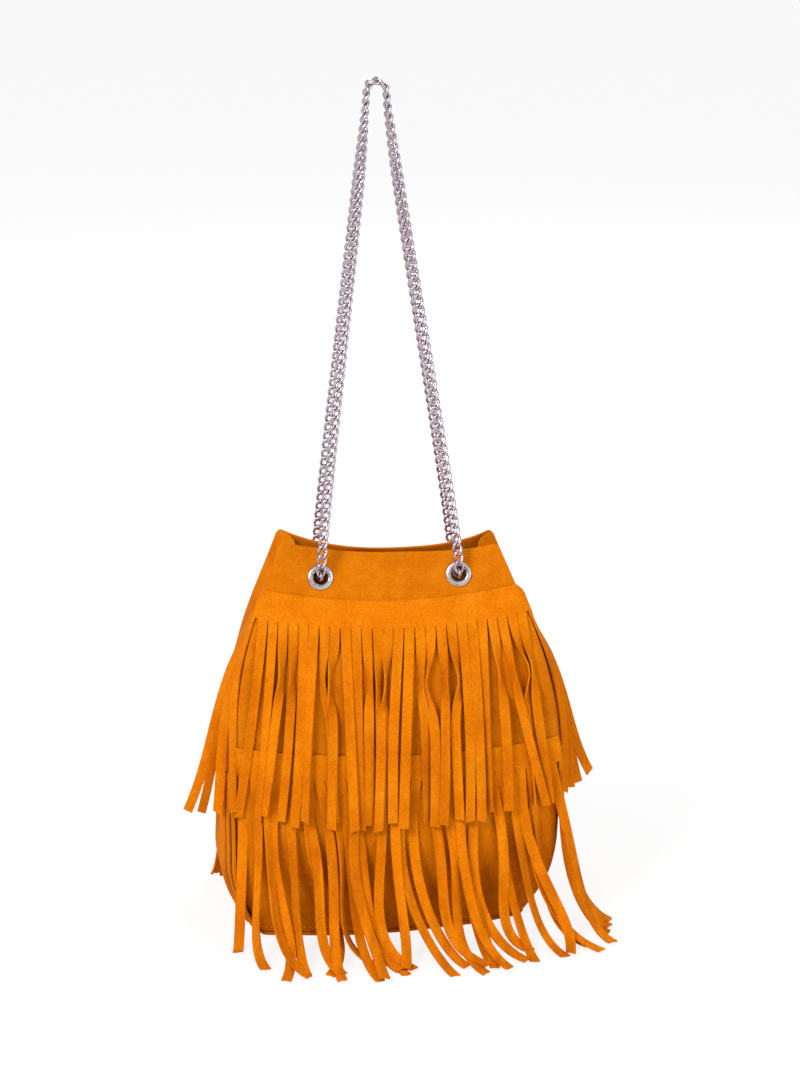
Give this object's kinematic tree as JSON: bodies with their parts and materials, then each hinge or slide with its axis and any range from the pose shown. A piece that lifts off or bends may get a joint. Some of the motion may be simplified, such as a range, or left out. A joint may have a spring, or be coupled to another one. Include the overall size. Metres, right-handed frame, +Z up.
{
  "type": "fringed suede bag",
  "caption": "Suede bucket bag with rows of cut fringe on both faces, a flat base, side gussets and a chain drawn through eyelets.",
  "frame": {"origin": "middle of the underside of the base", "axes": "+Z up, -Y out of the front, +X to the right seen from the front"},
  "size_m": [0.3175, 0.2942, 0.6542],
  "materials": {
    "suede": "napped suede",
    "base_suede": "napped suede",
    "nickel": "polished nickel plate"
  },
  "bodies": {
    "bag": {"base_panel": "base_suede", "front_panel": "suede", "back_panel": "suede", "gusset_left": "suede", "gusset_right": "suede", "fringe_front_upper": "suede", "fringe_front_lower": "suede", "fringe_back_upper": "suede", "fringe_back_lower": "suede", "eyelet_front_left": "nickel", "eyelet_front_right": "nickel", "eyelet_back_left": "nickel", "eyelet_back_right": "nickel", "washer_front_left": "nickel", "washer_front_right": "nickel", "washer_back_left": "nickel", "washer_back_right": "nickel", "chain_inside_left": "nickel", "chain_inside_right": "nickel"},
    "front_handle": {"chain_front": "nickel"},
    "back_handle": {"chain_back": "nickel"}
  },
  "joints": [
    {"name": "front_handle_swing", "type": "hinge", "parent": "bag", "child": "front_handle", "pos_m": [0, -0.02933, 0.28053], "axis": [1, 0, 0], "range_deg": [0, 135]},
    {"name": "back_handle_swing", "type": "hinge", "parent": "bag", "child": "back_handle", "pos_m": [0, 0.02933, 0.28053], "axis": [-1, 0, 0], "range_deg": [0, 135]}
  ]
}
